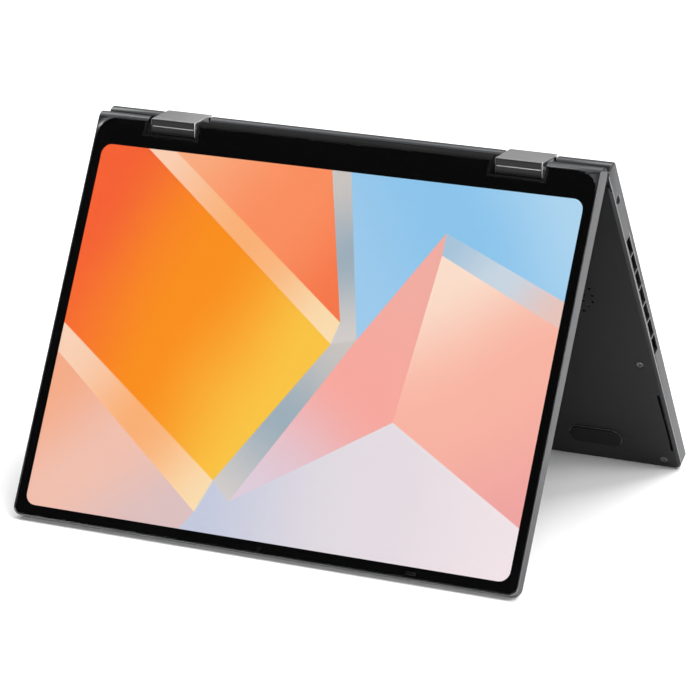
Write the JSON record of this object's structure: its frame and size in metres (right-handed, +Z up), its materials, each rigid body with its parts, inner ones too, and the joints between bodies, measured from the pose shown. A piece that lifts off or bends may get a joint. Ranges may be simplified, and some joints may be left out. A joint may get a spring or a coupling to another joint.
{
  "type": "convertible laptop computer",
  "caption": "Folding laptop computer standing as a tent: a touch display lid and a keyboard base joined by two geared double-axis hinge links.",
  "frame": {"origin": "under the middle of the standing laptop, on the surface that its two free edges stand on", "axes": "+X to the typist's left along the hinge line, +Y from the display side to the keyboard side, +Z up"},
  "size_m": [0.2964, 0.2418, 0.2032],
  "materials": {
    "dark_aluminium": "bead blasted, dark grey anodised",
    "link_metal": "satin grey anodised",
    "cover_glass": "polished, black border behind",
    "screen": "lit display",
    "black_plastic": "fine moulded texture",
    "key_plastic": "smooth matt key tops",
    "rubber": "matt rubber",
    "steel": "plated steel",
    "board": "green solder mask",
    "copper": "bare copper"
  },
  "bodies": {
    "base": {"deck": "dark_aluminium", "bottom_cover": "dark_aluminium", "keyboard_plate": "black_plastic", "mainboard": "board", "storage_drive": "board", "fan_housing": "black_plastic", "heat_sink": "copper", "battery": "black_plastic", "audio_jack": "black_plastic", "usb_c_socket_rear": "steel", "usb_c_socket_front": "steel", "usb_a_socket": "steel", "bottom_screw_1": "steel", "bottom_screw_2": "steel", "bottom_screw_3": "steel", "bottom_screw_4": "steel", "bottom_screw_5": "steel", "bottom_screw_6": "steel", "bottom_screw_7": "steel", "bottom_screw_8": "steel", "left_base_hinge_arm": "steel", "right_base_hinge_arm": "steel", "front_left_foot": "rubber", "front_right_foot": "rubber", "rear_left_foot": "rubber", "rear_right_foot": "rubber", "left_speaker": "black_plastic", "right_speaker": "black_plastic"},
    "hinge_links": {"left_link_cover": "link_metal", "left_link_inner_plate": "steel", "left_link_outer_plate": "steel", "right_link_cover": "link_metal", "right_link_inner_plate": "steel", "right_link_outer_plate": "steel"},
    "lid": {"lid_back_cover": "dark_aluminium", "display_frame": "black_plastic", "cover_glass": "cover_glass", "display_panel": "screen", "webcam_module": "black_plastic", "light_sensor": "black_plastic", "left_lid_hinge_arm": "steel", "right_lid_hinge_arm": "steel"},
    "lid_side_gears": {"left_lid_side_gear": "steel", "right_lid_side_gear": "steel"},
    "base_side_gears": {"left_base_side_gear": "steel", "right_base_side_gear": "steel"},
    "fan": {"fan_rotor": "black_plastic"},
    "function_keys": {"function_key_row": "key_plastic"},
    "power_key": {"power_button": "key_plastic"},
    "number_keys": {"number_key_row": "key_plastic"},
    "upper_letter_keys": {"upper_letter_row": "key_plastic"},
    "home_letter_keys": {"home_letter_row": "key_plastic"},
    "lower_letter_keys": {"lower_letter_row": "key_plastic"},
    "left_modifiers": {"left_modifier_keys": "key_plastic"},
    "space": {"space_bar": "key_plastic"},
    "right_modifiers": {"right_modifier_keys": "key_plastic"},
    "click_pad": {"touchpad": "dark_aluminium"}
  },
  "joints": [
    {"name": "base_to_links", "type": "hinge", "parent": "base", "child": "hinge_links", "pos_m": [0, -0.00158, 0.19862], "axis": [1, 0, 0], "range_deg": [-150.8, 29.2]},
    {"name": "links_to_lid", "type": "hinge", "parent": "hinge_links", "child": "lid", "pos_m": [0, -0.01338, 0.19827], "axis": [1, 0, 0], "range_deg": [-150.8, 29.2]},
    {"name": "lid_side_gear_spin", "type": "hinge", "parent": "hinge_links", "child": "lid_side_gears", "pos_m": [0, -0.00945, 0.19839], "axis": [1, 0, 0], "range_deg": [-29.2, 150.8]},
    {"name": "base_side_gear_spin", "type": "hinge", "parent": "hinge_links", "child": "base_side_gears", "pos_m": [0, -0.00551, 0.1985], "axis": [1, 0, 0], "range_deg": [-150.8, 29.2]},
    {"name": "fan_spin", "type": "hinge", "parent": "base", "child": "fan", "pos_m": [0.106, 0.04582, 0.11942], "axis": [0, 0.8581, 0.5135], "continuous": true},
    {"name": "function_key_press", "type": "slide", "parent": "base", "child": "function_keys", "axis": [0, -0.8581, -0.5135], "range_m": [0, 0.0012], "stiffness_N_per_m": 700, "springref_m": -0.001},
    {"name": "power_button_press", "type": "slide", "parent": "base", "child": "power_key", "axis": [0, -0.8581, -0.5135], "range_m": [0, 0.0012], "stiffness_N_per_m": 400, "springref_m": -0.001},
    {"name": "number_key_press", "type": "slide", "parent": "base", "child": "number_keys", "axis": [0, -0.8581, -0.5135], "range_m": [0, 0.0012], "stiffness_N_per_m": 700, "springref_m": -0.001},
    {"name": "upper_letter_key_press", "type": "slide", "parent": "base", "child": "upper_letter_keys", "axis": [0, -0.8581, -0.5135], "range_m": [0, 0.0012], "stiffness_N_per_m": 700, "springref_m": -0.001},
    {"name": "home_letter_key_press", "type": "slide", "parent": "base", "child": "home_letter_keys", "axis": [0, -0.8581, -0.5135], "range_m": [0, 0.0012], "stiffness_N_per_m": 700, "springref_m": -0.001},
    {"name": "lower_letter_key_press", "type": "slide", "parent": "base", "child": "lower_letter_keys", "axis": [0, -0.8581, -0.5135], "range_m": [0, 0.0012], "stiffness_N_per_m": 700, "springref_m": -0.001},
    {"name": "left_modifier_press", "type": "slide", "parent": "base", "child": "left_modifiers", "axis": [0, -0.8581, -0.5135], "range_m": [0, 0.0012], "stiffness_N_per_m": 500, "springref_m": -0.001},
    {"name": "space_bar_press", "type": "slide", "parent": "base", "child": "space", "axis": [0, -0.8581, -0.5135], "range_m": [0, 0.0012], "stiffness_N_per_m": 500, "springref_m": -0.001},
    {"name": "right_modifier_press", "type": "slide", "parent": "base", "child": "right_modifiers", "axis": [0, -0.8581, -0.5135], "range_m": [0, 0.0012], "stiffness_N_per_m": 500, "springref_m": -0.001},
    {"name": "touchpad_click", "type": "slide", "parent": "base", "child": "click_pad", "axis": [0, -0.8581, -0.5135], "range_m": [0, 0.0004], "stiffness_N_per_m": 3000, "springref_m": -0.0006}
  ],
  "couplings": [
    {"joint": "links_to_lid", "follows": "base_to_links", "ratio": 1},
    {"joint": "lid_side_gear_spin", "follows": "base_to_links", "ratio": -1},
    {"joint": "base_side_gear_spin", "follows": "base_to_links", "ratio": 1}
  ]
}
